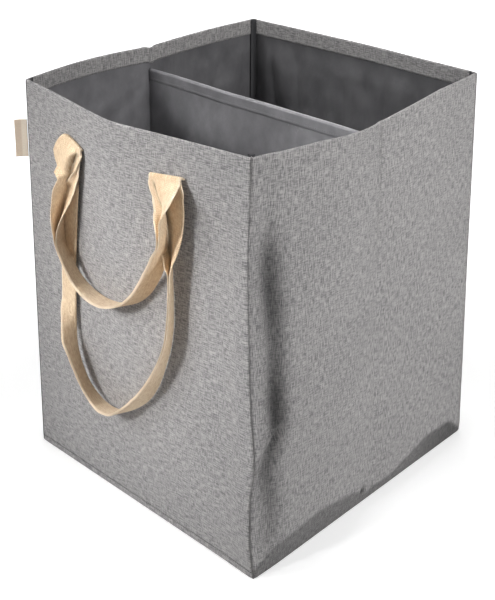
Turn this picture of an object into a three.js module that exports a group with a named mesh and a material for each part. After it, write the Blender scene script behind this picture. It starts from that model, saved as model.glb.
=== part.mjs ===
// A square fabric laundry hamper with two bins, in millimetres, +Z up.
// The origin is the middle of the underside. The handle faces look along -Y and +Y,
// the divider stands across the middle at y = 0, and the plain faces look along -X and +X.
import * as THREE from 'three';

// Outside of the bag
const bagHeight = 500;
const baseWidth = 391;
const baseDepth = 404;
const topWidth = 362;
const topDepth = 382;

// Layers of a wall, from the outside in
const outerThickness = 0.8;
const boardThickness = 0.8;
const liningThickness = 0.5;
const layerGap = 0.3;
const seamGap = 0.3;
const hemHeight = 20;
const cornerReach = 8;

// How far the walls belly out, and the dip of the rim at the right-hand divider seam
const frontCrown = 27;
const backCrown = 4;
const rightFrontBelly = 16;
const rightRearBelly = 3;
const rightSeamBelly = 6.5;
const rightRimDip = 10.5;
const leftFrontBelly = 10;
const leftRearBelly = 2;
const leftSeamBelly = 3;
const leftRimDip = 1;
const footBelly = 8;
const footHeight = 40;
const crownRoundShare = 0.08;
const crownPower = 1.1;
const crownFade = 1.3;
const bellyPower = 0.85;
const bellyFade = 1.2;
const footPower = 4;
const dipShare = 0.55;

// Divider between the bins
const dividerDrop = 28.5;
const dividerPlyThickness = 0.5;
const dividerBoardThickness = 0.8;
const bindingThickness = 0.5;
const bindingHeight = 12;
const notchHeight = 30;

// Bound seams in the inside corners
const cornerBindingLeg = 3.5;
const cornerBindingProud = 1;

// Loose stiff bottoms, one in each bin
const bottomThickness = 2.5;
const bottomSideClearance = 6;
const bottomEndClearance = 4;
const bottomHingeClearance = 4;
const bottomCornerRadius = 12;
const bottomCornerSteps = 5;

// Webbing handles, a short and a long one on each handle face
const webWidth = 50;
const gripWidth = 25;
const webThickness = 1.3;
const gripThickness = 3;
const anchorHalfSpan = 80;
const anchorDrop = 40;
const sewnLength = 24;
const narrowingRun = 72;
const shortHang = 177;
const longHang = 318;
const handleSteps = 34;

// Folded tab in the front left corner seam
const tabReach = 15;
const tabHeight = 46;
const tabDrop = 49;
const tabThickness = 1.6;

// Routes of the hanging handles, as shares: across (of the anchor half span), down (of the
// hang), off (of the web width, from the fold to the strap's edge nearest the wall) and turn
// (of a quarter turn, from lying flat on the wall to standing edgewise off it).
const shortRouteShares = [
  [-1, 0, 0.047, 0],
  [-1, 0.062, 0.066, 0],
  [-1.01, 0.124, 0.085, 0],
  [-1.03, 0.198, 0.095, 0.05],
  [-1.06, 0.347, 0.1, 0.35],
  [-1.06, 0.534, 0.1, 0.8],
  [-1.05, 0.702, 0.1, 1],
  [-0.95, 0.869, 0.1, 1],
  [-0.66, 0.981, 0.1, 1],
  [-0.26, 0.991, 0.1, 1],
  [0.14, 0.897, 0.1, 1],
  [0.5, 0.73, 0.1, 1],
  [0.78, 0.534, 0.1, 0.9],
  [0.9, 0.375, 0.1, 0.55],
  [0.97, 0.208, 0.095, 0.1],
  [0.99, 0.124, 0.085, 0],
  [1, 0.062, 0.066, 0],
  [1, 0, 0.047, 0],
];
const longRouteShares = [
  [-1, 0, 0.016, 0],
  [-1.1, 0.134, 0.02, 0.02],
  [-1.2, 0.23, 0.025, 0.05],
  [-1.25, 0.423, 0.035, 0.1],
  [-1.26, 0.615, 0.05, 0.25],
  [-1.22, 0.759, 0.06, 0.6],
  [-1.02, 0.885, 0.06, 0.95],
  [-0.66, 0.966, 0.06, 1],
  [-0.2, 1, 0.06, 1],
  [0.2, 0.933, 0.06, 1],
  [0.55, 0.836, 0.06, 1],
  [0.85, 0.721, 0.06, 0.95],
  [1.06, 0.596, 0.06, 0.8],
  [1.18, 0.442, 0.05, 0.6],
  [1.19, 0.297, 0.04, 0.45],
  [1.12, 0.163, 0.025, 0.04],
  [1.04, 0.086, 0.018, 0],
  [1, 0, 0.016, 0],
];

// Depths below the outer face of a wall
const boardDepth = outerThickness + layerGap;
const liningDepth = boardDepth + boardThickness + layerGap;
const hemDepth = liningDepth + liningThickness + layerGap;
const wallDepth = hemDepth + outerThickness;
const seamInset = seamGap / Math.SQRT2;

// Heights of what lies on the floor
const floorLow = outerThickness + layerGap;
const floorTop = floorLow + liningThickness;
const bottomLow = floorTop + layerGap;

// Heights of what is set out from the rim
const dividerHeight = bagHeight - dividerDrop;
const anchorHeight = bagHeight - anchorDrop;
const tabLow = bagHeight - tabDrop - tabHeight;

const hemShare = 1 - hemHeight / bagHeight;
const footShare = footHeight / bagHeight;
const liftedSteps = 7;
const rowShares = [0, footShare / 2];
for (let step = 0; step <= liftedSteps; step += 1) {
  rowShares.push(THREE.MathUtils.lerp(footShare, hemShare, step / liftedSteps));
}
rowShares.push(1);
const columnShares = [-0.8, -0.6, -0.4, -0.2, 0, 0.2, 0.4, 0.6, 0.8];

const halfWidth = (share) => THREE.MathUtils.lerp(baseWidth, topWidth, share) / 2;
const halfDepth = (share) => THREE.MathUtils.lerp(baseDepth, topDepth, share) / 2;

// A handle face bends out as a soft ridge down its middle, highest at the rim.
function crownForm(crown) {
  const soften = (u) => Math.hypot(u, crownRoundShare) - crownRoundShare;
  return (across, up) => {
    const fall = 1 - soften(Math.abs(across)) / soften(1);
    return crown * fall ** crownPower * up ** crownFade;
  };
}

// A plain face bellies out once for each bin, is drawn in at the divider seam,
// and tucks back in under itself at the floor.
function bellyForm(frontBelly, rearBelly, seamBelly) {
  return (alongY, up) => {
    const run = Math.abs(alongY);
    const rim = (alongY < 0 ? frontBelly : rearBelly) * Math.sin(Math.PI * run ** bellyPower);
    const seam = seamBelly * (1 - run);
    const tuck = 1 - Math.min(up / footShare, 1);
    const fullness = 1 - (2 * run - 1) ** footPower;
    const foot = footBelly * fullness * Math.sqrt(1 - tuck * tuck) * (1 - up);
    return (rim + seam) * up ** bellyFade + foot;
  };
}

const dipForm = (dip) => (alongY) => dip * Math.max(0, 1 - Math.abs(alongY) / dipShare);
const noDip = () => 0;

// Each wall runs along one axis and faces another; along x up = outward.
const walls = {
  front: {
    outward: new THREE.Vector3(0, -1, 0), along: new THREE.Vector3(1, 0, 0),
    out: halfDepth, half: halfWidth, form: crownForm(frontCrown), dip: noDip, flip: 1,
  },
  back: {
    outward: new THREE.Vector3(0, 1, 0), along: new THREE.Vector3(-1, 0, 0),
    out: halfDepth, half: halfWidth, form: crownForm(backCrown), dip: noDip, flip: -1,
  },
  right: {
    outward: new THREE.Vector3(1, 0, 0), along: new THREE.Vector3(0, 1, 0),
    out: halfWidth, half: halfDepth, flip: 1,
    form: bellyForm(rightFrontBelly, rightRearBelly, rightSeamBelly), dip: dipForm(rightRimDip),
  },
  left: {
    outward: new THREE.Vector3(-1, 0, 0), along: new THREE.Vector3(0, -1, 0),
    out: halfWidth, half: halfDepth, flip: -1,
    form: bellyForm(leftFrontBelly, leftRearBelly, leftSeamBelly), dip: dipForm(leftRimDip),
  },
};

// The belly between two rows is a straight mix of theirs, so that every layer follows
// the same facets.
function bellyAt(wall, share, up) {
  let row = 0;
  while (row < rowShares.length - 2 && up > rowShares[row + 1]) row += 1;
  const low = rowShares[row];
  const high = rowShares[row + 1];
  const across = share * wall.flip;
  return THREE.MathUtils.lerp(wall.form(across, low), wall.form(across, high), (up - low) / (high - low));
}

function wallPoint(wall, column, up, depth) {
  const half = wall.half(up);
  const place = column.place(half, depth);
  const share = column.atCorner ? Math.sign(place) : place / half;
  const belly = column.atCorner ? 0 : bellyAt(wall, share, up);
  const point = wall.along.clone().multiplyScalar(place);
  point.addScaledVector(wall.outward, wall.out(up) + belly - depth);
  point.z = up * (bagHeight - wall.dip(share * wall.flip));
  return point;
}

const cornerColumn = (side) => ({
  atCorner: true, place: (half, depth) => side * (half - depth - seamInset),
});
const nearColumn = (side) => ({ place: (half) => side * (half - cornerReach) });
const shareColumn = (share) => ({ place: (half) => share * half });
const fixedColumn = (place) => ({ place: () => place });

const fullColumns = [
  cornerColumn(-1), nearColumn(-1), ...columnShares.map(shareColumn), nearColumn(1), cornerColumn(1),
];
const halfColumns = (side, middleGap) => {
  const shares = columnShares.filter((share) => share * side > 0).map(shareColumn);
  const middle = fixedColumn(side * middleGap / 2);
  return side < 0
    ? [cornerColumn(-1), nearColumn(-1), ...shares, middle]
    : [middle, ...shares, nearColumn(1), cornerColumn(1)];
};

// A closed sheet between an outer and an inner grid of points, columns by stations.
function sheetGeometry(columns, stations, outerPoint, innerPoint) {
  const positions = [];
  const index = [];
  const across = columns.length;
  const up = stations.length;
  for (const pointAt of [outerPoint, innerPoint]) {
    for (const station of stations) {
      for (const column of columns) positions.push(...pointAt(column, station).toArray());
    }
  }
  const outer = (i, j) => j * across + i;
  const inner = (i, j) => across * up + j * across + i;
  const quad = (a, b, c, d) => index.push(a, b, c, a, c, d);
  for (let j = 0; j < up - 1; j += 1) {
    for (let i = 0; i < across - 1; i += 1) {
      quad(outer(i, j), outer(i + 1, j), outer(i + 1, j + 1), outer(i, j + 1));
      quad(inner(i, j), inner(i, j + 1), inner(i + 1, j + 1), inner(i + 1, j));
    }
    quad(outer(0, j), outer(0, j + 1), inner(0, j + 1), inner(0, j));
    quad(outer(across - 1, j), inner(across - 1, j), inner(across - 1, j + 1), outer(across - 1, j + 1));
  }
  for (let i = 0; i < across - 1; i += 1) {
    quad(outer(i, 0), inner(i, 0), inner(i + 1, 0), outer(i + 1, 0));
    quad(outer(i, up - 1), outer(i + 1, up - 1), inner(i + 1, up - 1), inner(i, up - 1));
  }
  const geometry = new THREE.BufferGeometry();
  geometry.setAttribute('position', new THREE.Float32BufferAttribute(positions, 3));
  geometry.setIndex(index);
  geometry.computeVertexNormals();
  return geometry;
}

function layerGeometry(wall, columns, depth, thickness, low, topGap) {
  const ups = rowShares.map((share, row) => {
    if (row === 0) return low / bagHeight;
    return row === rowShares.length - 1 ? 1 - topGap / bagHeight : share;
  });
  return sheetGeometry(
    columns,
    ups,
    (column, up) => wallPoint(wall, column, up, depth),
    (column, up) => wallPoint(wall, column, up, depth + thickness),
  );
}

// The outer cloth climbs the wall, turns in over the rim and hangs inside as the hem.
function outerGeometry(wall) {
  const rimFold = 1 - outerThickness / bagHeight;
  const stations = rowShares.map((up) => ({ up, innerUp: up, depth: 0, innerDepth: outerThickness }));
  stations[stations.length - 1].innerUp = rimFold;
  stations.push({ up: 1, innerUp: rimFold, depth: wallDepth, innerDepth: hemDepth });
  stations.push({ up: hemShare, innerUp: hemShare, depth: wallDepth, innerDepth: hemDepth });
  return sheetGeometry(
    fullColumns,
    stations,
    (column, station) => wallPoint(wall, column, station.up, station.depth),
    (column, station) => wallPoint(wall, column, station.innerUp, station.innerDepth),
  );
}

const finishes = {
  melange: { color: 0x8d8c8d, roughness: 0.95, metalness: 0 },
  lining: { color: 0x57575a, roughness: 0.55, metalness: 0 },
  board: { color: 0xb9b6ae, roughness: 0.8, metalness: 0 },
  binding: { color: 0x3a3a3d, roughness: 0.85, metalness: 0 },
  webbing: { color: 0xdcbd92, roughness: 0.9, metalness: 0 },
  tab: { color: 0xb99c85, roughness: 0.9, metalness: 0 },
};

const hamper = new THREE.Group();

function addPiece(name, finish, geometry, parent = hamper) {
  const mesh = new THREE.Mesh(geometry, new THREE.MeshStandardMaterial(finishes[finish]));
  mesh.name = name;
  parent.add(mesh);
  return mesh;
}

function addWalls() {
  const rimClearance = outerThickness + layerGap;
  for (const [side, wall] of Object.entries(walls)) {
    addPiece(`${side}_panel`, 'melange', outerGeometry(wall));
    addPiece(
      `${side}_lining`,
      'lining',
      layerGeometry(wall, fullColumns, liningDepth, liningThickness, floorLow, rimClearance),
    );
  }
  for (const side of ['front', 'back']) {
    addPiece(
      `${side}_board`,
      'board',
      layerGeometry(walls[side], fullColumns, boardDepth, boardThickness, floorLow, rimClearance),
    );
  }
  for (const side of ['right', 'left']) {
    for (const bin of ['front', 'rear']) {
      const towards = (bin === 'front' ? -1 : 1) * walls[side].flip;
      const columns = halfColumns(towards, seamGap);
      addPiece(
        `${side}_${bin}_board`,
        'board',
        layerGeometry(walls[side], columns, boardDepth, boardThickness, floorLow, rimClearance),
      );
    }
  }
}

function slabGeometry(halfX, halfY, thickness) {
  return new THREE.BoxGeometry(2 * halfX, 2 * halfY, thickness);
}

function addFloor() {
  const panelInset = outerThickness + layerGap;
  const panel = slabGeometry(baseWidth / 2 - panelInset, baseDepth / 2 - panelInset, outerThickness);
  addPiece('base_panel', 'melange', panel).position.z = outerThickness / 2;
  const lining = slabGeometry(baseWidth / 2 - hemDepth, baseDepth / 2 - hemDepth, liningThickness);
  addPiece('floor_lining', 'lining', lining).position.z = floorLow + liningThickness / 2;
}

// Where a divider layer ends: a gap short of the side lining, and of the hem near the top.
function dividerEnd(wall, z) {
  const up = z / (bagHeight - wall.dip(0));
  const hemNear = z > dividerHeight - notchHeight / 2;
  const depth = hemNear ? wallDepth + layerGap : hemDepth;
  return wall.out(up) + bellyAt(wall, 0, up) - depth;
}

function dividerPoint(side, z, y) {
  const wall = side < 0 ? walls.left : walls.right;
  return new THREE.Vector3(side * dividerEnd(wall, z), y, z);
}

function addDivider() {
  const plyTop = dividerHeight - bindingThickness - layerGap;
  const notchLow = dividerHeight - notchHeight;
  const heights = rowShares.map((share) => share * bagHeight)
    .filter((z) => z > bottomLow && z < notchLow);
  const levels = [bottomLow, ...heights, notchLow, plyTop];
  const addSheet = (name, finish, middle, thickness) => addPiece(name, finish, sheetGeometry(
    [-1, 1],
    levels,
    (side, z) => dividerPoint(side, z, middle - thickness / 2),
    (side, z) => dividerPoint(side, z, middle + thickness / 2),
  ));
  const plyMiddle = dividerBoardThickness / 2 + layerGap + dividerPlyThickness / 2;
  addSheet('divider_front_ply', 'lining', -plyMiddle, dividerPlyThickness);
  addSheet('divider_board', 'board', 0, dividerBoardThickness);
  addSheet('divider_rear_ply', 'lining', plyMiddle, dividerPlyThickness);

  const innerHalf = plyMiddle + dividerPlyThickness / 2 + layerGap;
  const outerHalf = innerHalf + bindingThickness;
  const bindingLow = dividerHeight - bindingHeight;
  const stations = [
    { turn: -1, outerZ: bindingLow, innerZ: bindingLow },
    { turn: -1, outerZ: dividerHeight, innerZ: dividerHeight - bindingThickness },
    { turn: 1, outerZ: dividerHeight, innerZ: dividerHeight - bindingThickness },
    { turn: 1, outerZ: bindingLow, innerZ: bindingLow },
  ];
  addPiece('divider_top_binding', 'lining', sheetGeometry(
    [-1, 1],
    stations,
    (side, station) => dividerPoint(side, station.outerZ, station.turn * outerHalf),
    (side, station) => dividerPoint(side, station.innerZ, station.turn * innerHalf),
  ));
}

// A three-sided strip in each inside corner covers the seam of the linings.
function addCornerBindings() {
  const inset = wallDepth + layerGap;
  for (const [end, ySide] of [['front', -1], ['rear', 1]]) {
    for (const [side, xSide] of [['left', -1], ['right', 1]]) {
      const corners = [[0, 0], [cornerBindingLeg, 0], [0, cornerBindingLeg]];
      if (xSide * ySide < 0) corners.reverse();
      const positions = [];
      for (const z of [bottomLow, bagHeight + cornerBindingProud]) {
        const up = z / bagHeight;
        for (const [dx, dy] of corners) {
          positions.push(xSide * (halfWidth(up) - inset - dx), ySide * (halfDepth(up) - inset - dy), z);
        }
      }
      const index = [0, 2, 1, 3, 4, 5];
      for (let i = 0; i < corners.length; i += 1) {
        const next = (i + 1) % corners.length;
        index.push(i, next, next + corners.length, i, next + corners.length, i + corners.length);
      }
      const geometry = new THREE.BufferGeometry();
      geometry.setAttribute('position', new THREE.Float32BufferAttribute(positions, 3));
      geometry.setIndex(index);
      geometry.computeVertexNormals();
      addPiece(`${end}_${side}_corner_binding`, 'binding', geometry);
    }
  }
}

// A stiff board lies loose in each bin and lifts by its outer edge about the divider side.
function addBottoms() {
  const halfX = baseWidth / 2 - wallDepth - bottomSideClearance;
  const farY = baseDepth / 2 - wallDepth - bottomEndClearance;
  const nearY = dividerBoardThickness / 2 + layerGap + dividerPlyThickness + bottomHingeClearance;
  const radius = bottomCornerRadius;
  const outline = new THREE.Shape();
  outline.moveTo(-halfX, -nearY);
  outline.lineTo(-halfX, -farY + radius);
  outline.absarc(-halfX + radius, -farY + radius, radius, Math.PI, 1.5 * Math.PI);
  outline.lineTo(halfX - radius, -farY);
  outline.absarc(halfX - radius, -farY + radius, radius, 1.5 * Math.PI, 2 * Math.PI);
  outline.lineTo(halfX, -nearY);
  for (const [bin, turn] of [['front', 0], ['rear', Math.PI]]) {
    const geometry = new THREE.ExtrudeGeometry(outline, {
      depth: bottomThickness, bevelEnabled: false, curveSegments: bottomCornerSteps,
    });
    const mesh = addPiece(`${bin}_bottom_board`, 'board', geometry);
    mesh.rotation.z = turn;
    mesh.position.z = bottomLow;
  }
}

// The wall's outer face, out from the middle of the bag, at a place on a handle face.
function handleWallOut(wall, x, z) {
  const up = z / bagHeight;
  return wall.out(up) + bellyAt(wall, x / wall.half(up), up);
}

const sewnStack = 2 * (webThickness + layerGap);

// The fold that the handles swing about, clear of the wall at the anchors' inner ends.
function foldOut(wall) {
  const innerEnd = anchorHalfSpan - webWidth / 2;
  return handleWallOut(wall, innerEnd, anchorHeight) + sewnStack + layerGap / 2;
}

// How far out of the fold a strap's edge nearest the wall is held by the wall behind it.
function heldOut(wall, across, down, halfCover) {
  const innerX = Math.max(Math.abs(across) - halfCover, 0);
  return handleWallOut(wall, innerX, anchorHeight - down) + layerGap - foldOut(wall);
}

// A strap carried along its route. Its width turns from along the wall to off the wall.
function handleGeometry(wall, routeShares, hang) {
  const centres = [];
  const sizes = [];
  for (const [across, down, off, turn] of routeShares) {
    const drop = down * hang;
    const narrowed = THREE.MathUtils.smoothstep(drop, 0, narrowingRun);
    const width = THREE.MathUtils.lerp(webWidth, gripWidth, narrowed);
    const thickness = THREE.MathUtils.lerp(webThickness, gripThickness, narrowed);
    const angle = turn * Math.PI / 2;
    const reach = Math.sin(angle) * width / 2 + (thickness - webThickness) / 2;
    const x = across * anchorHalfSpan;
    const out = Math.max(off * webWidth, heldOut(wall, x, drop, Math.cos(angle) * width / 2));
    centres.push(new THREE.Vector3(x, -(out + reach), -drop));
    sizes.push({ width, thickness, angle });
  }
  const route = new THREE.CatmullRomCurve3(centres, false, 'centripetal');
  const positions = [];
  const index = [];
  const spans = sizes.length - 1;
  for (let step = 0; step <= handleSteps; step += 1) {
    const along = step / handleSteps;
    const slot = Math.min(Math.floor(along * spans), spans - 1);
    const blend = along * spans - slot;
    const mix = (key) => THREE.MathUtils.lerp(sizes[slot][key], sizes[slot + 1][key], blend);
    const centre = route.getPoint(along);
    const tangent = step === 0 ? new THREE.Vector3(0, 0, -1) : route.getTangent(along);
    if (step === handleSteps) tangent.set(0, 0, 1);
    const outerSide = along < 0.5 ? -1 : 1;
    const angle = mix('angle');
    const widthwise = new THREE.Vector3(outerSide * Math.cos(angle), -Math.sin(angle), 0);
    widthwise.addScaledVector(tangent, -widthwise.dot(tangent)).normalize();
    const through = new THREE.Vector3().crossVectors(tangent, widthwise);
    for (const [w, t] of [[-0.5, -0.5], [0.5, -0.5], [0.5, 0.5], [-0.5, 0.5]]) {
      const corner = centre.clone().addScaledVector(widthwise, w * mix('width'));
      corner.addScaledVector(through, t * mix('thickness'));
      positions.push(...corner.toArray());
    }
  }
  for (let step = 0; step < handleSteps; step += 1) {
    for (let side = 0; side < 4; side += 1) {
      const a = step * 4 + side;
      const b = step * 4 + (side + 1) % 4;
      index.push(a, b, b + 4, a, b + 4, a + 4);
    }
  }
  const last = handleSteps * 4;
  index.push(0, 2, 1, 0, 3, 2, last, last + 1, last + 2, last, last + 2, last + 3);
  const geometry = new THREE.BufferGeometry();
  geometry.setAttribute('position', new THREE.Float32BufferAttribute(positions, 3));
  geometry.setIndex(index);
  geometry.computeVertexNormals();
  return geometry;
}

// The sewn ends lie one on the other against the wall, just under the fold.
function sewnEndGeometry(wall, centreX, depth) {
  const columns = [-0.5, 0, 0.5];
  const stations = [sewnLength, sewnLength / 2, 0];
  const point = (across, down, out) => {
    const x = centreX + across * webWidth;
    const z = anchorHeight - layerGap - down;
    return new THREE.Vector3(x, -handleWallOut(wall, x, z) - out, z);
  };
  return sheetGeometry(
    columns,
    stations,
    (across, down) => point(across, down, depth + webThickness),
    (across, down) => point(across, down, depth),
  );
}

function addHandles() {
  for (const [face, turn] of [['front', 0], ['back', Math.PI]]) {
    const wall = walls[face];
    const faceGroup = new THREE.Group();
    faceGroup.rotation.z = turn;
    hamper.add(faceGroup);
    const foldGroup = new THREE.Group();
    foldGroup.position.set(0, -foldOut(wall), anchorHeight);
    faceGroup.add(foldGroup);
    const handles = [
      ['short', shortRouteShares, shortHang, layerGap],
      ['long', longRouteShares, longHang, 2 * layerGap + webThickness],
    ];
    for (const [length, routeShares, hang, depth] of handles) {
      const name = `${face}_${length}_handle`;
      addPiece(name, 'webbing', handleGeometry(wall, routeShares, hang), foldGroup);
      for (const [end, side] of [['left', -1], ['right', 1]]) {
        const geometry = sewnEndGeometry(wall, side * anchorHalfSpan, depth);
        addPiece(`${name}_${end}_end`, 'webbing', geometry, faceGroup);
      }
    }
  }
}

// The tab stands out of the corner seam, halfway between the two faces.
function addTab() {
  const away = new THREE.Vector3(-1, -1, 0).normalize();
  const across = new THREE.Vector3(-1, 1, 0).normalize();
  const point = (reach, z, side) => {
    const corner = new THREE.Vector3(-halfWidth(z / bagHeight), -halfDepth(z / bagHeight), z);
    corner.addScaledVector(away, layerGap + reach);
    return corner.addScaledVector(across, side * tabThickness / 2);
  };
  addPiece('corner_tab', 'tab', sheetGeometry(
    [0, tabReach],
    [tabLow, tabLow + tabHeight],
    (reach, z) => point(reach, z, 1),
    (reach, z) => point(reach, z, -1),
  ));
}

addWalls();
addFloor();
addDivider();
addCornerBindings();
addBottoms();
addHandles();
addTab();

export default hamper;
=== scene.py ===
import math
import bmesh
import bpy
import numpy as np
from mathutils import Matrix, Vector


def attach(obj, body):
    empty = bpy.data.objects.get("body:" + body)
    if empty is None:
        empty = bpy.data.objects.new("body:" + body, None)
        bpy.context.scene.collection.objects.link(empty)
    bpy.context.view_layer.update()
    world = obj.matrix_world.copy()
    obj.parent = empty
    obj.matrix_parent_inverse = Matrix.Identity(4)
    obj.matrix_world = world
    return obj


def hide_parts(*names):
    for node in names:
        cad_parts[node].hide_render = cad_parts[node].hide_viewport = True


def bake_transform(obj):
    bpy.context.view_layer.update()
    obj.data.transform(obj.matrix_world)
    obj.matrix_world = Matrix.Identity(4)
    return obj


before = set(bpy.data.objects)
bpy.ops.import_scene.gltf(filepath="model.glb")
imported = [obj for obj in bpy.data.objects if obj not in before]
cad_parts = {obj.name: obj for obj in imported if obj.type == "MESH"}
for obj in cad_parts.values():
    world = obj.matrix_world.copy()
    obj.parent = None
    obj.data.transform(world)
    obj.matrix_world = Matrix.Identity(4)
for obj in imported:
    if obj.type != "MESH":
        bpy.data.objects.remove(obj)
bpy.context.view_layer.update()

mm = 0.001  # shapes are worked out in millimetres, as on a pattern, and Blender gets metres
print("stage 1: frame loaded")


# camera, light, floor
view = dict(azimuth=43.80, elevation=25.46, distance=1401.0, lookAt=(-4.8, -4.6, 289.3),
            lens=67.92, shiftY=-0.1)
light = dict(world=0.25, floorColour=0.80, floorHalf=6000.0, nearLift=0.46, farLift=0.85,
             nearRing=0.30, farRing=0.66)

# each lamp's place and aim in metres, its size, its power in watts and its spread in degrees
lamps = dict(
    keyLight=((-0.85, -1.45, 1.35), (0, -0.1, 0.33), 0.42, 12.2, 180),
    highPool=((-0.35, -1.70, 1.20), (0.05, -0.20, 0.40), 0.4, 0.31, 19),
    lowPool=((-0.35, -1.70, 1.00), (0.0, -0.20, 0.18), 0.4, 0.26, 19),
    overLight=((0.0, 0.0, 2.40), (0, 0, 0), 0.3, 0.3, 18),
    rearLight=((-1.50, 1.60, 1.60), (0, 0, 0.3), 0.9, 11.0, 180),
    sideLight=((1.75, -0.05, 1.10), (0.2, 0.11, 0.40), 0.6, 2.65, 58))


def addObject(name, data):
    made = bpy.data.objects.new(name, data)
    bpy.context.collection.objects.link(made)
    return made


def addCamera():
    # The camera stands on the photograph's viewing line and looks at a point inside the bag.
    a, e = math.radians(view["azimuth"]), math.radians(view["elevation"])
    back = Vector((math.sin(a) * math.cos(e), -math.cos(a) * math.cos(e), math.sin(e)))
    data = bpy.data.cameras.new("camera")
    data.sensor_width, data.sensor_fit, data.lens = 36.0, "AUTO", view["lens"]
    data.shift_y = view["shiftY"]
    data.clip_start, data.clip_end = 0.05, 60.0
    camera = addObject("camera", data)
    camera.location = (Vector(view["lookAt"]) + back * view["distance"]) * mm
    camera.rotation_euler = back.to_track_quat("Z", "Y").to_euler()
    bpy.context.scene.camera = camera


def addLamp(name, place, aim, size, power, spread):
    data = bpy.data.lights.new(name, "AREA")
    data.shape, data.size, data.energy, data.spread = "DISK", size, power, math.radians(spread)
    lamp = addObject(name, data)
    lamp.location = place
    lamp.rotation_euler = (Vector(place) - Vector(aim)).to_track_quat("Z", "Y").to_euler()


# node expressions
class Wire:
    # one socket; Python operators on it add Math nodes, so shader maths reads as maths
    def __init__(self, graph, socket):
        self.graph, self.socket = graph, socket

    def maths(self, operation, *others):
        return self.graph.add("Math", [self, *others], operation=operation)

    def __add__(self, other): return self.maths("ADD", other)
    def __radd__(self, other): return self.maths("ADD", other)
    def __sub__(self, other): return self.maths("SUBTRACT", other)
    def __rsub__(self, other): return self.graph.add("Math", [other, self], operation="SUBTRACT")
    def __mul__(self, other): return self.maths("MULTIPLY", other)
    def __rmul__(self, other): return self.maths("MULTIPLY", other)
    def __pow__(self, other): return self.maths("POWER", other)

    def sine(self): return self.maths("SINE")
    def size(self): return self.maths("ABSOLUTE")

    def step(self, low, high):
        # 0 below low, 1 above high, and a smooth rise between them
        return self.graph.add("MapRange", {"Value": self, "From Min": low, "From Max": high},
                              interpolation_type="SMOOTHSTEP")


class Graph:
    # the node tree of a material or a world
    def __init__(self, name, kind="materials"):
        self.owner = getattr(bpy.data, kind).new(name)
        self.owner.use_nodes = True
        self.tree = self.owner.node_tree
        self.tree.nodes.clear()

    def add(self, kind, inputs=(), output=0, **settings):
        # settings go first because some of them change the node's sockets
        node = self.tree.nodes.new("ShaderNode" + kind)
        for key, value in settings.items():
            setattr(node, key, value)
        for key, value in inputs.items() if isinstance(inputs, dict) else enumerate(inputs):
            socket = node.inputs[key]
            if isinstance(value, Wire):
                self.tree.links.new(value.socket, socket)
            else:
                short = socket.type == "RGBA" and len(value) == 3
                socket.default_value = (*value, 1.0) if short else value
        return Wire(self, node.outputs[output])

    def end(self, shader, kind="OutputMaterial"):
        self.tree.links.new(shader.socket, self.tree.nodes.new("ShaderNode" + kind).inputs["Surface"])
        return self.owner

    def split(self, vector):
        node = self.add("SeparateXYZ", [vector]).socket.node
        return [Wire(self, socket) for socket in node.outputs]

    def pattern(self):
        # the piece's own flat pattern in metres, whole and as its two parts
        uv = self.add("UVMap", uv_map="pattern")
        return (uv, *self.split(uv)[:2])

    def place(self):
        return self.add("TexCoord", output="Object")

    def noise(self, vector, scale, detail=2.0, roughness=0.5):
        # scale counts the grains to a metre along each axis
        scaled = self.add("Mapping", {"Vector": vector, "Scale": scale}, vector_type="POINT")
        return self.add("TexNoise", {"Vector": scaled, "Scale": 1.0, "Detail": detail, "Roughness": roughness},
                        noise_dimensions="3D")

    def ribs(self, value, pitch):
        # one wave to each pitch, which is in millimetres
        return (value * (2 * math.pi / (pitch * mm))).sine()

    def attribute(self, name):
        return self.add("Attribute", output="Fac", attribute_type="GEOMETRY", attribute_name=name)

    def mix(self, factor, first, second, blend="MIX"):
        return self.add("Mix", {0: factor, 6: first, 7: second}, 2, data_type="RGBA", blend_type=blend)

    def tint(self, colour, value):
        # a colour darkened or lightened by a number
        grey = self.add("CombineColor", [value] * 3, mode="RGB")
        return self.mix(1.0, colour, grey, "MULTIPLY")

    def rays(self, *kinds):
        # 1 for rays of the kinds named, 0 for others
        path = self.add("LightPath").socket.node
        return sum(Wire(self, path.outputs[f"Is {kind} Ray"]) for kind in kinds).maths("MINIMUM", 1.0)

    def surface(self, colour, roughness, height, depth, strength, sheen=0.0, specular=0.3):
        normal = self.add("Bump", {"Height": height, "Strength": strength, "Distance": depth})
        return self.end(self.add("BsdfPrincipled", {
            "Base Color": colour, "Roughness": roughness, "Specular IOR Level": specular,
            "Sheen Weight": sheen, "Normal": normal}))


# finishes
cloth = dict(dark=(0.17, 0.167, 0.171), light=(0.51, 0.493, 0.486), slubWidth=0.95, slubLength=8.0, thread=0.55)
cotton = dict(rib=1.55, weft=1.5, selvage=(0.0222, 0.0238))


def makeMelange():
    # Melange cloth: short dark and light slubs lie along the warp and the weft, over a plain weave.
    g = Graph("melangeCloth")
    uv, u, v = g.pattern()
    across, along = 1000 / cloth["slubWidth"], 1000 / cloth["slubLength"]
    warp = g.noise(uv, (across, along, 1), 1.5, 0.55)
    weft = g.noise(uv, (along * 0.8, across, 1), 1.5, 0.55)
    fleck = g.noise(uv, (1900, 1300, 1), 1.0)
    cloud = g.noise(uv, (9, 9, 1), 3.0)
    weave = g.ribs(u, cloth["thread"]) * g.ribs(v, cloth["thread"])
    slubs = (warp - 0.5) * 0.9 + (weft - 0.5) * 1.25 + (fleck - 0.5) * 0.5
    blend = slubs + (cloud - 0.5) * 0.12 + weave * 0.04 + 0.5
    colour = g.mix(blend.step(0.17, 0.83), cloth["dark"], cloth["light"])
    # painted shading: darker in the seam grooves and along seam lines, in the hollow behind the front corner, under
    # the foot's fold, at the pucker and along the hem
    colour = g.tint(colour, 1 - g.attribute("seam") * 0.55)
    height = weave * 0.35 + warp * 0.5 + weft * 0.5 + fleck * 0.3
    return g.surface(colour, 0.86 + warp * 0.12, height, 0.00035, 0.6, sheen=0.12, specular=0.2)


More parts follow.
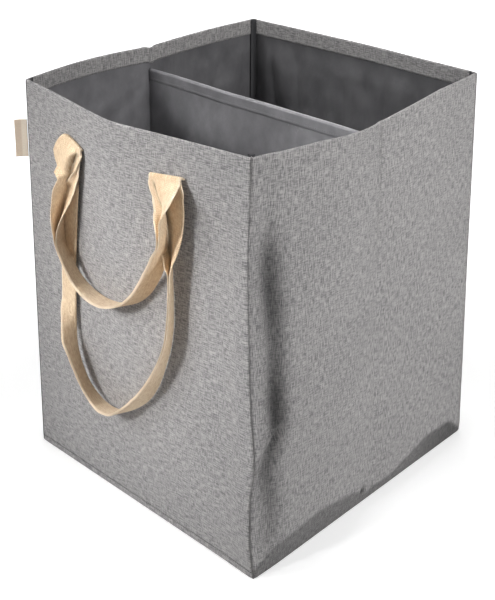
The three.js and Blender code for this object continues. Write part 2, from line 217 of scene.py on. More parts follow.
def makeLining():
    # Coated lining: a smooth dark skin on a fine cloth, crazed by soft creases.
    g = Graph("liningCloth")
    uv, u, v = g.pattern()
    crease = g.noise(uv, (26, 17, 1), 6.0, 0.62)
    fine = g.noise(uv, (700, 700, 1))
    rub = g.noise(uv, (55, 38, 1), 4.0)
    weave = g.ribs(u, 0.9) * g.ribs(v, 0.9)
    colour = g.mix((crease * 0.7 + rub * 0.3).step(0.3, 0.75), (0.118, 0.116, 0.123), (0.195, 0.192, 0.201))
    # painted shading: darker over the rear bin's lining and at the divider hem's lower edge, lighter over the
    # divider's front ply and hem
    colour = g.tint(colour, (1 - g.attribute("seam") * 0.45) * (0.94 + fine * 0.12))
    # painted highlight: here and there a hard crease of the coating is lightened as though it caught the light
    vein = g.noise(uv, (60, 22, 1))
    patch = g.noise(uv, (14, 9, 1), 1.0)
    glint = (1 - (vein - 0.5).size().step(0.002, 0.012)) * patch.step(0.64, 0.70)
    colour = g.mix(glint * 0.6, colour, (0.42, 0.42, 0.43))
    height = crease * 3.0 + fine * 0.06 + weave * 0.03
    return g.surface(colour, 0.42 + crease * 0.2, height, 0.0011, 0.5, sheen=0.05, specular=0.45)


def makeBinding():
    # Woven tape with a fine cross rib.
    g = Graph("bindingTape")
    uv, _, v = g.pattern()
    fine = g.noise(uv, (900, 900, 1))
    colour = g.mix(fine, (0.035, 0.035, 0.038), (0.075, 0.074, 0.078))
    return g.surface(colour, 0.8 + fine * 0.1, g.ribs(v, 0.8) * 0.5 + fine * 0.4, 0.0003, 0.6)


def makeWebbing():
    # Natural cotton webbing: warp ribs along the strap, crossed by the weft in a broken twill,
    # with smooth selvages and pale slubs.
    g = Graph("cottonWebbing")
    uv, u, v = g.pattern()
    ribs = g.ribs(u, cotton["rib"])
    twill = (g.ribs(u, 2 * cotton["rib"]) * 1.6 + v * (2 * math.pi / (cotton["weft"] * mm))).sine()
    slub = g.noise(uv, (520, 160, 1), 3.0, 0.6)
    fine = g.noise(uv, (1500, 1500, 1), 1.0)
    cloud = g.noise(uv, (30, 18, 1))
    blend = (slub - 0.5) * 0.8 + (cloud - 0.5) * 0.35 + twill * 0.11 + ribs * 0.06 + (fine - 0.5) * 0.6 + 0.5
    colour = g.mix(blend.step(0.22, 0.78), (0.64, 0.44, 0.265), (0.93, 0.765, 0.55))
    colour = g.mix(u.size().step(*cotton["selvage"]) * 0.45, colour, (0.93, 0.83, 0.68))
    # painted shade in the deep creases beside the anchors and in the gap between the long strap's halves
    colour = g.tint(colour, 1 - g.attribute("shade") * 0.72)
    height = ribs * 0.25 + twill * 0.55 + slub * 0.2 + fine * 0.2
    return g.surface(colour, 0.84 + fine * 0.12, height, 0.0004, 0.6, sheen=0.15, specular=0.2)


def makeRibbon():
    # Ribbed satin ribbon of the tab.
    g = Graph("tabRibbon")
    uv, _, v = g.pattern()
    fine = g.noise(uv, (300, 1500, 1))
    colour = g.mix(g.attribute("shade"), (0.80, 0.66, 0.52), (0.95, 0.84, 0.70))
    colour = g.tint(colour, 0.88 + fine * 0.24)
    return g.surface(colour, 0.6 + fine * 0.15, g.ribs(v, 0.7) * 0.5 + fine * 0.3, 0.0002, 0.5, sheen=0.1)


def makeBoard():
    # Grey fibre board: long fibres, small specks and scuffs.
    g = Graph("fibreBoard")
    fibre = g.noise(g.place(), (90, 90, 300), 5.0, 0.65)
    speck = g.noise(g.place(), (900, 900, 900), 1.0)
    cloud = g.noise(g.place(), (7, 7, 7), 3.0)
    colour = g.mix((fibre * 0.6 + cloud * 0.4).step(0.3, 0.7), (0.20, 0.195, 0.185), (0.32, 0.31, 0.29))
    colour = g.tint(colour, 1 - speck.step(0.62, 0.75) * 0.35)
    return g.surface(colour, 0.75 + fibre * 0.15, fibre * 0.6 + speck * 0.3, 0.0005, 0.5)


def makeThread(name, colour):
    # Twisted sewing thread.
    g = Graph(name)
    twist = g.noise(g.place(), (2500, 2500, 2500), 1.0)
    return g.surface(g.tint(colour, 0.75 + twist * 0.5), 0.55 + twist * 0.2, twist, 0.0002, 0.5)


melange, lining, binding, webbing = makeMelange(), makeLining(), makeBinding(), makeWebbing()
ribbon, board = makeRibbon(), makeBoard()
darkThread = makeThread("darkThread", (0.045, 0.044, 0.046))
greyThread = makeThread("greyThread", (0.30, 0.295, 0.29))
duskThread = makeThread("duskThread", (0.17, 0.168, 0.174))
print("stage 2: finishes made")


# mesh makers
def makePiece(name, points, material, pattern=None, attributes=None, thickness=0.0, faces=None, flip=False,
              smooth=True):
    # points in millimetres, pattern in millimetres of flat cloth for each point; without faces the
    # points are a grid
    if faces is None:
        faces = gridFaces(*points.shape[:2], flip)
    mesh = bpy.data.meshes.new(name)
    points = np.asarray(points, dtype=np.float64).reshape(-1, 3)
    faces = np.asarray(faces, dtype=np.int32)
    count, corners = faces.shape
    mesh.vertices.add(len(points))
    mesh.vertices.foreach_set("co", (points * mm).ravel())
    mesh.loops.add(count * corners)
    mesh.loops.foreach_set("vertex_index", faces.ravel())
    mesh.polygons.add(count)
    mesh.polygons.foreach_set("loop_start", np.arange(0, count * corners, corners, dtype=np.int32))
    mesh.polygons.foreach_set("loop_total", np.full(count, corners, dtype=np.int32))
    mesh.polygons.foreach_set("use_smooth", np.full(count, smooth))
    if pattern is not None:
        layer = mesh.uv_layers.new(name="pattern")
        layer.data.foreach_set("uv", (np.asarray(pattern).reshape(-1, 2)[faces.ravel()] * mm).ravel())
    for key, values in (attributes or {}).items():
        mesh.attributes.new(key, "FLOAT", "POINT").data.foreach_set("value", np.asarray(values, float).ravel())
    mesh.update(calc_edges=True)
    mesh.validate()
    mesh.materials.append(material)
    piece = addObject(name, mesh)
    if thickness:
        solid = piece.modifiers.new("thickness", "SOLIDIFY")
        solid.thickness, solid.offset, solid.use_even_offset = thickness * mm, -1.0, False
    return piece


def gridFaces(rows, columns, flip=False):
    # quads of a grid whose points run along the columns first
    j, i = np.meshgrid(np.arange(rows - 1), np.arange(columns - 1), indexing="ij")
    a = (j * columns + i).ravel()
    quads = np.stack([a, a + 1, a + columns + 1, a + columns], axis=1)
    return quads[:, ::-1] if flip else quads


def smoothed(x, xs, ys, spread):
    # a broken line through the given places, rounded by averaging over the spread
    total = np.zeros_like(np.asarray(x, float))
    steps = np.linspace(-1, 1, 9)
    weights = 1 - np.abs(steps) * 0.9
    for step, weight in zip(steps, weights):
        total = total + weight * np.interp(x + step * spread, xs, ys)
    return total / weights.sum()


def stacked(*parts):
    return np.stack(np.broadcast_arrays(*parts), axis=-1)


def runAlong(*axes):
    # the way covered up to each point of a line, which is given by its coordinates
    return np.concatenate([[0], np.cumsum(np.sqrt(sum(np.diff(axis) ** 2 for axis in axes)))])


def hill(x, middle, spread):
    return np.exp(-((x - middle) / spread) ** 2)


def soften(x, low, high):
    t = np.clip((x - low) / (high - low), 0, 1)
    return t * t * (3 - 2 * t)


def waves(x, z, seed, size, count=9):
    # slow swells of the cloth: a few sine waves of different length and direction
    r = np.random.default_rng(seed)
    total = np.zeros(np.broadcast(x, z).shape)
    for _ in range(count):
        angle, length, phase = r.uniform(0, math.pi), size * r.uniform(0.6, 1.7), r.uniform(0, 2 * math.pi)
        total = total + np.sin((x * math.cos(angle) + z * math.sin(angle)) * 2 * math.pi / length + phase)
    return total / count ** 0.5


def camel(node):
    first, *others = node.split("_")
    return first + "".join(word.capitalize() for word in others)


# walls
bag = dict(height=500.0, baseWidth=391.0, baseDepth=404.0, topWidth=362.0, topDepth=382.0,
           crown=dict(front=27.0, back=4.0), crownPower=1.1, crownFade=1.3, crownRound=0.08,
           right=dict(frontBelly=16.0, rearBelly=3.0, seamBelly=6.5, dip=10.5),
           left=dict(frontBelly=10.0, rearBelly=2.0, seamBelly=3.0, dip=1.0),
           bellyPower=0.85, bellyFade=1.2, footBelly=8.0, dipShare=0.55,
           clothThickness=0.8, boardDepth=1.1, boardInset=7.0, liningDepth=2.2, rimDepth=3.8,
           hemHeight=20.0, footSeam=8.5, groove=1.5, cornerRound=7.0, patternHalf=190.0)

# where the front right corner seam wanders to, against height, and how far each face follows it
wander = dict(height=[0, 44, 110, 155, 225, 270, 378, 442, 500],
              shift=[-1.0, -5.2, -4.2, 1.0, -3.0, -4.0, -5.5, -3.5, -1.0],
              rightShare=0.72, frontShare=0.69, frontFade=60.0, rightFade=40.0)

# the tucked foot of the right-hand face: height of its fold line along y
foot = dict(place=[-202, -170, -99, -53, -32, -18, 0, 39, 109, 161, 189, 202],
            fold=[16, 40, 47, 40, 35, 22, 22, 25, 44, 41, 17, 6], tuck=11.0)

# the hollow behind the front right corner: its place along y and its depth, against height
valley = dict(placeHeight=[0, 92, 139, 187, 235, 282, 377, 500],
              place=[-184, -180, -186, -170, -171, -170, -174, -172],
              depthHeight=[0, 60, 150, 220, 290, 400, 480, 500],
              depth=[0, 3.0, 6.0, 6.0, 5.5, 5.5, 2.2, 0.8], width=10.5)

# the way each wall faces, and the two ends of its run as seen from outside
signs = dict(front=(0, -1), back=(0, 1), right=(1, 0), left=(-1, 0))
ends = dict(front=("left", "right"), back=("right", "left"), right=("front", "back"), left=("back", "front"))
handleFaces = ("front", "back")


def halfWidth(up): return (bag["baseWidth"] + (bag["topWidth"] - bag["baseWidth"]) * up) / 2
def halfDepth(up): return (bag["baseDepth"] + (bag["topDepth"] - bag["baseDepth"]) * up) / 2
def seamShift(z): return smoothed(z, wander["height"], wander["shift"], 22.0)
def foldHeight(y): return smoothed(y, foot["place"], foot["fold"], 7.0)
def valleyPlace(z): return np.interp(z, valley["placeHeight"], valley["place"])
def valleyDepth(z): return np.interp(z, valley["depthHeight"], valley["depth"])


def cornerOut(side, end, z):
    # a corner's own place along x for side "right"/"left", along y for end "front"/"back"
    up = z / bag["height"]
    x, y = halfWidth(up), halfDepth(up)
    if side == "right" and end == "front":
        x, y = x + wander["rightShare"] * seamShift(z), y - wander["frontShare"] * seamShift(z)
    return x, y


def handleFaceOut(side, x, z):
    # A handle face bends out as a soft ridge down its middle, highest at the rim, and drifts
    # with the corner seam near it. Out is measured from the middle of the bag.
    up = np.clip(z / bag["height"], 0, 1)
    share = np.abs(x) / halfWidth(up)
    r = bag["crownRound"]
    fall = np.clip(1 - (np.hypot(share, r) - r) / (math.hypot(1, r) - r), 0, 1)
    out = halfDepth(up) + bag["crown"][side] * fall ** bag["crownPower"] * up ** bag["crownFade"]
    edge = 1 - share ** 6
    if side == "front":
        near = soften(1 - (halfWidth(up) - x) / wander["frontFade"], 0, 1)
        out = out - wander["frontShare"] * seamShift(z) * near
        out = out + waves(x, z, 11, 210.0) * 0.9 * edge * soften(z, 0, 60)
        ripple = hill(x, 172, 14) * 1.4 - hill(x, 150, 16) * 1.2
        out = out + ripple * soften(z, 20, 90) * (1 - soften(z, 430, 495))
    else:
        out = out + waves(x, z, 23, 230.0) * edge * soften(z, 0, 60)
    return out - 0.7 * hill(z, bag["footSeam"], 2.2) * edge


def plainFaceOut(side, y, z):
    # A plain face bellies out once for each bin and is drawn in at the divider seam. Its foot tucks in:
    # on the right straight back from a fold line, on the left on a round.
    form = bag[side]
    up = np.clip(z / bag["height"], 0, 1)
    share = np.clip(y / halfDepth(up), -1, 1)
    run = np.abs(share)
    ease = 0.012 + 0.20 * (1 - up)
    soft = (np.hypot(run, ease) - ease) / (np.hypot(1, ease) - ease)
    belly = np.where(share < 0, form["frontBelly"], form["rearBelly"])
    rim = belly * np.sin(math.pi * np.clip(soft, 0, 1) ** bag["bellyPower"])
    out = halfWidth(up) + (rim + form["seamBelly"] * (1 - soft)) * up ** bag["bellyFade"]
    fullness = 1 - (2 * np.hypot(run, 0.22) - 1.05) ** 4
    edge = 1 - run ** 8
    if side == "right":
        fold = foldHeight(y)
        ramp = np.clip(z / fold, 0, 2.2)
        ramp = np.where(ramp < 1, ramp - 0.07 * ramp ** 6, 0.93 + 0.07 * soften(ramp, 1, 1.5))
        full = np.clip(1 - (2 * run - 1) ** 10, 0, 1)
        out = out + foot["tuck"] * (0.35 * full + 0.65 * fullness) * ramp * (1 - up)
        near = soften(1 - (y + halfDepth(up)) / wander["rightFade"], 0, 1)
        out = out + wander["rightShare"] * seamShift(z) * near
        out = out - valleyDepth(z) * hill(y, valleyPlace(z), valley["width"])
        # the short crease that leaves the corner
        line = 166 + 40 * np.clip((y + 188) / 32, 0, 1) ** 1.2
        out = out + 3.0 * hill(z, line, 6) * hill(y, -172, 15)
        out = out - 2.6 * hill(z, line - 9, 6) * hill(y, -170, 14)
        # a soft light ridge above the fold, and the pull of the divider seam
        out = out + 1.2 * hill(z, fold + 9, 7) * hill(y, -126, 34)
        out = out - 0.7 * hill(y, 0, 6) * soften(z, 330, 440) - 3.6 * hill(y, -19, 5) * hill(z, 24, 9)
        out = out + 1.6 * hill(y, -9, 5) * hill(z, 30, 9) + 1.0 * hill(y, -31, 6) * hill(z, 33, 9)
        return out + waves(y, z, 5, 190.0) * edge * soften(z, 30, 110)
    tuck = 1 - np.clip(z / 34.0, 0, 1)
    out = out + bag["footBelly"] * fullness * np.sqrt(1 - tuck * tuck) * (1 - up)
    out = out - 1.3 * hill(y, 0, 7) * soften(z, 300, 400)
    return out + waves(y, z, 7, 190.0) * 1.1 * edge * soften(z, 30, 110)


def rimDrop(side, y, z):
    # how far the rim and what is under it sit low at the divider seam
    if side in handleFaces:
        return 0.0 * y
    share = np.hypot(y / halfDepth(1.0), 0.015) - 0.015
    drop = bag[side]["dip"] * np.clip(1 - share / bag["dipShare"], 0, 1)
    if side == "left":
        drop = drop + 1.5 * hill(y, 3, 5) - 0.7 * hill(y, -7, 4)
    return drop * np.clip(z / bag["height"], 0, 1)


def wallPoints(side, share, z, depth, rounding=0.0, inset=0.0):
    # A wall as a function of its share along (-1 to 1, seen from outside left to right) and its
    # height. depth is how far the layer lies inside the outer face; inset shortens it at the
    # corners. Near a corner the face rounds off along a quarter bend.
    handled = side in handleFaces
    low, high = (cornerOut(end, side, z)[0] if handled else cornerOut(side, end, z)[1] for end in ends[side])
    left, right = -low + depth + inset, high - depth - inset
    along = left + (right - left) * (share + 1) / 2
    turn = 1 if side in ("front", "right") else -1
    truth = turn * along
    out = (handleFaceOut if handled else plainFaceOut)(side, truth, z) - depth
    near = np.minimum(along - left, right - along)
    r = np.maximum(rounding, 1e-6)
    t = np.clip(1 - np.sqrt(np.clip(near / r, 0, 1)), 0, 0.5)
    out = np.where(near < r, out - r * t * t, out)
    flat = (truth, -turn * out) if handled else (turn * out, truth)
    return stacked(*flat, z - rimDrop(side, truth, z)), truth


def cornerShares(count, bend):
    # even columns, with a few more round each corner bend
    start = -1 + bend * 1.15
    tight = -1 + (np.linspace(0.25, 1, 7) ** 2) * bend
    return np.concatenate([tight, np.linspace(start, -start, count), -tight[::-1]])


def clothGrey(side, truth, z, outside):
    # painted shade: how much darker the plain faces are painted in the hollow, under the foot's fold and at the
    # pucker, where shade falls; the cloth is also darker at the divider seam and along a wavy strip at the right
    # face's rear edge
    seam = hill(truth, 0, 1.2) * soften(z, 380, 470) * 0.3
    if side == "left":
        return seam
    hollow = valleyDepth(z) / 6.0 * hill(truth, valleyPlace(z) + 3, 13.0)
    hollow = hollow * (1.1 + 0.45 * hill(z, 215, 40) + 0.35 * hill(z, 345, 45)) * (1 - soften(z, 380, 450))
    fold = foldHeight(truth)
    under = (1 - soften(z, fold - 7, fold + 2)) * (0.9 + 0.5 * soften(truth, 60, 190))
    pucker = 1.6 * hill(truth, -19, 4.5) * hill(z, 24, 8)
    rearEdgeStrip = 0.3 * soften(truth + 1.5 * np.sin(z / 19), 185, 190)
    return np.maximum(seam, np.maximum.reduce([hollow, under, pucker, rearEdgeStrip]) * outside)


def addOuterCloth(side):
    # The cloth climbs the wall, rolls over the rim on a half circle and hangs inside as the hem.
    half, top, radius = bag["patternHalf"], bag["height"], bag["rimDepth"] / 2
    shares = cornerShares(128, bag["cornerRound"] / half)
    up = np.concatenate([[0.4, 2.0, 4.0, 6.0, 8.0, 10.0, 12.5], np.linspace(15.5, top - 4, 158)])
    roll = np.linspace(0, math.pi, 11)
    hem = np.linspace(top - 4, top - bag["hemHeight"], 9)
    heights = np.concatenate([up, top - radius + radius * np.sin(roll), hem])
    depths = np.concatenate([0 * up, radius - radius * np.cos(roll), 0 * hem + bag["rimDepth"]])
    z, share = np.meshgrid(heights, shares, indexing="ij")
    depth = depths[:, None] + 0 * z
    points, truth = wallPoints(side, share, z, depth, np.clip(bag["cornerRound"] - depth * 1.6, 0.8, None))
    # the last column at each corner turns in, as the seam's groove
    way = np.array([bag["groove"], bag["groove"], 0.0])
    first, last = (edge - np.sign(edge) * way for edge in (points[:, :1], points[:, -1:]))
    points = np.concatenate([first, points, last], axis=1)
    run = runAlong(heights, depths)
    u = shares * half
    u = np.concatenate([[u[0] - 2], u, [u[-1] + 2]])
    # the plain faces are cut across the cloth, so their long slubs stand upright
    pattern = stacked(u[None, :], run[:, None]) if side in handleFaces else stacked(run[:, None], u[None, :])
    toEdge = np.concatenate([[0], (1 - np.abs(shares)) * half, [0]])
    outside, inside = depths[:, None] < 1, depths[:, None] > 3
    # painted shade in each corner seam's groove and painted shadow along the hem's lower edge inside; the cloth is
    # also darker along the foot seam and on the hem's inside
    seam = (1.35 * hill(toEdge, 0, 1.5))[None, :] * outside
    footLine = hill(heights[:, None], bag["footSeam"], 1.4) * (side in handleFaces) * outside
    hemLine = (depths[:, None] > 3.5) * hill(heights[:, None], top - bag["hemHeight"], 2.0)
    seam = np.maximum(seam, np.maximum(footLine * 0.5, hemLine * 0.4 + 0.14 * inside))
    if side not in handleFaces:
        sides = ((0, 0), (1, 1))
        grey = clothGrey(side, np.pad(truth, sides, mode="edge"), np.pad(z, sides, mode="edge"), outside)
        seam = np.maximum(seam, grey)
    return makePiece(f"{side}Cloth", points, melange, pattern, dict(seam=seam), bag["clothThickness"])


def addBoards(side):
    # The stiff sheets between the cloths end short of the corner seams, and in a plain face they part
    # at the divider seam.
    parts = [(side, -1.0, 1.0)]
    if side not in handleFaces:
        first, second = (f"{side}_{end.replace('back', 'rear')}" for end in ends[side])
        parts = [(first, -1.0, -0.004), (second, 0.004, 1.0)]
    made = []
    for stem, low, high in parts:
        z, share = np.meshgrid(np.linspace(4, bag["height"] - 4.5, 70), np.linspace(low, high, 60), indexing="ij")
        points, _ = wallPoints(side, share, z, bag["boardDepth"], inset=bag["boardInset"])
        node = f"{stem}_board"
        pattern = stacked(share * bag["patternHalf"], z)
        made.append((makePiece(camel(node) + "Sheet", points, board, pattern, thickness=0.8), node))
    return made


def liningSag(side, along, z):
    # The lining hangs a little loose: soft upright folds and slanting creases, none at its edges.
    edge = soften(bag["patternHalf"] - np.abs(along), 4, 45) * soften(z, 6, 60) * (1 - soften(z, 430, 478))
    if side not in handleFaces:
        edge = edge * soften(np.abs(along), 3, 30)
    seed = dict(front=31, back=37, right=41, left=43)[side]
    edge = edge * (1 + 0.45 * soften(z, 110, 250))
    folds = np.abs(waves(along, z * 0.16, seed, 95.0, 7)) ** 0.8 * 3.0
    slant = np.clip(waves(along, z, seed + 1, 120.0, 8), 0, 3) * 1.5
    small = waves(along, z, seed + 2, 38.0, 10) * 0.35
    return edge * (0.6 + folds + slant + small)


def addLining(side):
    z, share = np.meshgrid(np.linspace(1.4, bag["height"] - 2.2, 150), np.linspace(-1, 1, 118), indexing="ij")
    _, truth = wallPoints(side, share, z, bag["liningDepth"])
    sag = liningSag(side, truth, z)
    points, _ = wallPoints(side, share, z, bag["liningDepth"] + 0.5, inset=-0.2)
    # the inner face sags towards the inside of the bag
    x, y = signs[side]
    points -= stacked(x * sag, y * sag, 0)
    # painted shade: the rear bin's lining is the dimmer one, and the whole back lining is darker still
    rear = 0.65 * soften(truth, -5, 30)
    paintedRearShade = dict(front=0 * z, back=0.85 + 0 * z, left=rear, right=rear)[side]
    return makePiece(f"{side}LiningCloth", points, lining, stacked(share * bag["patternHalf"], z),
                     dict(seam=paintedRearShade), 0.5, flip=True)


# divider, floor, bottoms, bindings
divider = dict(top=471.5, width=360.0, plyAt=0.95, plyThickness=0.5, boardThickness=0.8, hem=14.0, hemAt=1.75,
               hemThickness=0.5, sway=2.2)
tape = dict(leg=5.2, inset=4.05, low=2.2, high=501.0, thickness=0.4)


def dividerReach(side, z):
    # the divider ends just short of the side lining, and of the hem near the top
    return plainFaceOut(side, 0 * z, z) - np.where(z > 455, 4.1, 2.95)


def dividerSway(x, z):
    # slow upright waves, none at the floor or the ends and fewer at the top
    edge = soften(175 - np.abs(x), 0, 60) * soften(z, 15, 150) * (1 - 0.55 * soften(z, 380, 470))
    swell = np.sin(x / 26 + 0.6) * 0.5 + np.sin(x / 57 - 0.8) + waves(x, z * 0.3, 61, 150.0) * 0.5
    return divider["sway"] * edge * swell


def dividerPoints(x01, z, y):
    left, right = -dividerReach("left", z), dividerReach("right", z)
    x = left + (right - left) * x01
    return stacked(x, y + dividerSway(x, z), z)


def addDivider():
    made = []
    top, width, depth = divider["top"], divider["width"], divider["plyThickness"]
    z, x01 = np.meshgrid(np.linspace(2.2, top - 1.0, 110), np.linspace(0, 1, 100), indexing="ij")
    pattern = stacked(x01 * width, z)
    # painted light: the front ply is lighter than the linings, most at its right
    paintedLight = 0.75 * hill(x01, 0.15, 0.2) + 0.1 + 1.4 * soften(x01, 0.55, 0.8)
    for sign, node in ((-1, "divider_front_ply"), (1, "divider_rear_ply")):
        small = waves(x01 * width, z, 70 + sign, 60.0) * 0.25 * soften(z, 20, 80)
        points = dividerPoints(x01, z, sign * (divider["plyAt"] + depth / 2 + np.abs(small)))
        piece = makePiece(camel(node), points, lining, pattern, dict(seam=-paintedLight * (sign < 0)), depth,
                          flip=sign > 0)
        made.append((piece, node, "lining_cloth", (0.360, 0.470)))
    points = dividerPoints(x01, z, divider["boardThickness"] / 2)
    piece = makePiece("dividerStiffener", points, board, pattern, thickness=divider["boardThickness"], flip=True)
    made.append((piece, "divider_board", "stiff_board", None))
    # the hem rolls over the top on a half circle
    roll = np.linspace(0, math.pi, 9)
    r = divider["hemAt"] + divider["hemThickness"]
    start = top - 0.55 * r
    down = np.linspace(0, divider["hem"], 8)
    y = np.concatenate([np.full(8, -r), -r * np.cos(roll), np.full(8, r)])
    high = np.concatenate([-down[::-1], r * np.sin(roll) * 0.55, -down]) + start
    x01 = np.linspace(0, 1, 130)[None, :]
    points = dividerPoints(x01, high[:, None], y[:, None])
    run = runAlong(y, high)
    # painted shadow along the hem's lower edge, and painted light over the whole hem, most at its right
    fade = hill(np.abs(y), r, 0.2)[:, None] * hill(high[:, None], start - divider["hem"], 1.5)
    piece = makePiece("dividerHem", points, lining, stacked(x01 * width, run[:, None]),
                      dict(seam=fade * 0.6 - 0.5 - 0.9 * soften(x01, 0.5, 0.8)), divider["hemThickness"])
    made.append((piece, "divider_top_binding", "lining_cloth", (0.360, 0.034)))
    return made


def addFloorCloths():
    # each cloth reaches to the walls' feet on all four sides
    made = []
    for name, node, z0, depth, material, slot in (
            ("baseCloth", "base_panel", 0.0, 0.9, melange, "melange_cloth"),
            ("floorLiningCloth", "floor_lining", 1.6, 2.6, lining, "lining_cloth")):
        y01, x01 = np.meshgrid(np.linspace(-1, 1, 90), np.linspace(-1, 1, 90), indexing="ij")
        high = z0 + 0.6
        y = y01 * (bag["baseDepth"] / 2 - depth)
        right, left = plainFaceOut("right", y, high) - depth, plainFaceOut("left", y, high) - depth
        x = (right - left) / 2 + x01 * (right + left) / 2
        back, front = handleFaceOut("back", x, high) - depth, handleFaceOut("front", x, high) - depth
        y = (back - front) / 2 + y01 * (back + front) / 2
        under = name == "baseCloth"
        edge = (1 - x01 ** 8) * (1 - y01 ** 8)
        swell = np.clip((waves(x, y, 81, 130.0) * 0.16 + 0.16) * edge, 0, 0.28) * under
        piece = makePiece(name, stacked(x, y, z0 + swell), material, stacked(x, y), dict(seam=0 * x), 0.5, flip=under)
        flat = (bag["baseWidth"] - 2 * depth) * mm, (bag["baseDepth"] - 2 * depth) * mm
        made.append((piece, node, slot, flat))
    return made


def addBottomBoards():
    # the loose bottoms: the CAD outline with its edges broken
    made = []
    for node in ("front_bottom_board", "rear_bottom_board"):
        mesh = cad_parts[node].data.copy()
        shape = bmesh.new()
        shape.from_mesh(mesh)
        bmesh.ops.remove_doubles(shape, verts=shape.verts, dist=1e-5)
        bmesh.ops.dissolve_limit(shape, angle_limit=0.02, verts=shape.verts, edges=shape.edges)
        shape.to_mesh(mesh)
        shape.free()
        mesh.materials.clear()
        mesh.materials.append(board)
        piece = addObject(camel(node), mesh)
        bevel = piece.modifiers.new("edges", "BEVEL")
        bevel.width, bevel.segments, bevel.limit_method = 0.0007, 2, "ANGLE"
        made.append((piece, node))
    return made


def addCornerBindings():
    # a soft tape bent round each inside corner, hollow towards the corner and carried up it
    made = []
    bend = np.linspace(0, math.pi / 2, 9)
    z = np.linspace(tape["low"], tape["high"], 120)[:, None]
    for side, end, stem in (("left", "front", "front_left"), ("right", "front", "front_right"),
                            ("left", "back", "rear_left"), ("right", "back", "rear_right")):
        x, y = cornerOut(side, end, z)
        sx, sy = (1 if side == "right" else -1), (1 if end == "back" else -1)
        dx, dy = (tape["inset"] + tape["leg"] * (1 - turn(bend)) for turn in (np.sin, np.cos))
        points = stacked(sx * (x - dx), sy * (y - dy), z)
        piece = makePiece(camel(stem) + "Tape", points, binding, stacked(bend * tape["leg"], z),
                          thickness=-tape["thickness"], flip=sx * sy < 0)
        made.append((piece, f"{stem}_corner_binding"))
    return made


# handles
strap = dict(thickness=1.1, half=25.0, halfGap=0.72, crease=0.75, selvage=1.1, span=80.0, fold=460.0,
             foldOut=dict(front=212.855, back=197.841), roll=1.7, hugDrop=24.0, sewn=24.0, step=2.4, lean=7.0,
             lineOfSight=(0.958, 0.66), short=dict(sewnOff=0.7, loopOff=4.45), long=dict(sewnOff=1.95, loopOff=3.2))

# the folds above the anchors: where across the webbing the left one is highest, how far each drops
# and stands off, and how much the right one is gathered
anchor = dict(peak=6.0, outerDrop=19.0, innerDrop=8.0, rightDrop=4.0, leftPuff=7.0, rightPuff=3.0,
              gather=0.87, shift=2.9)

# Each row of a route: x of the crease, how far it lies out of the fold's plane, height, width of the inner
# and outer half of the webbing, how far the outer and the inner half turn from straight out towards their
# own side, and the height of the lip, left out where it is 0. A row of four has full halves that turn as one.
shortRoute = [
    (-60, 0, 459, 5, 45, 90, 90), (-62, 0, 452, 6, 42, 90, 90, 3.5), (-65, 0.1, 444, 8, 39, 90, 88, 6.5),
    (-68, 0.3, 436, 10, 36, 91, 86, 7.5), (-70.5, 0.4, 430, 12, 33, 92, 84, 7),
    (-72.5, 0.5, 425, 13, 28, 92, 83, 6), (-73.6, 0.5, 422, 14, 22, 86, 82, 5),
    (-74.6, 0.6, 419.5, 14, 17, 30, 82), (-75.5, 0.7, 417, 15, 16, 6, 80), (-77.5, 0.9, 412, 15, 18.5, 2, 78),
    (-81, 1.4, 404, 16, 20, 3, 73), (-84, 1.8, 396, 18, 20.5, 0, 62), (-86.5, 2.1, 389, 20, 21.5, -6, 54),
    (-90, 2.4, 378, 23, 23.5, -12, 43), (-93, 2.7, 367, 25, 25, -18, 35), (-96, 2.7, 351, 25, 25, -24, 29),
    (-95.5, 2.7, 331, -27), (-86, 2.7, 314, -26), (-74, 2.7, 299.5, -23), (-58, 2.7, 289, -17),
    (-35, 2.7, 282.5, -9), (-7, 2.7, 283.5, -6), (21, 2.7, 292.5, -12), (45, 2.7, 309.5, -17),
    (63.5, 2.7, 333, -18), (74, 2.6, 352, -16), (79, 2.5, 367, -6), (81, 2.3, 380, 4), (81.3, 2, 392, 21),
    (81.2, 1.9, 400, 25, 25, 26, -24), (81, 1.7, 405.5, 22, 26, 28, -19), (80.8, 1.6, 410, 17, 27, 30, -6),
    (80.2, 1.4, 415, 13, 29, 31, 25), (79, 1.2, 420, 12, 31, 34, 62), (77.2, 1, 425, 12.5, 32, 40, 80),
    (75, 0.8, 430, 13, 34, 48, 88), (72, 0.5, 436, 14.5, 37, 57, 90, 2.5),
    (69.5, 0.4, 441, 14, 39, 64, 90, 3), (65.8, 0.2, 447, 11.5, 41, 72, 90, 2.2),
    (63, 0.1, 452, 8.5, 42, 78, 90), (60.5, 0, 456, 5.5, 44, 85, 90), (60, 0, 459, 5, 45, 90, 90)]
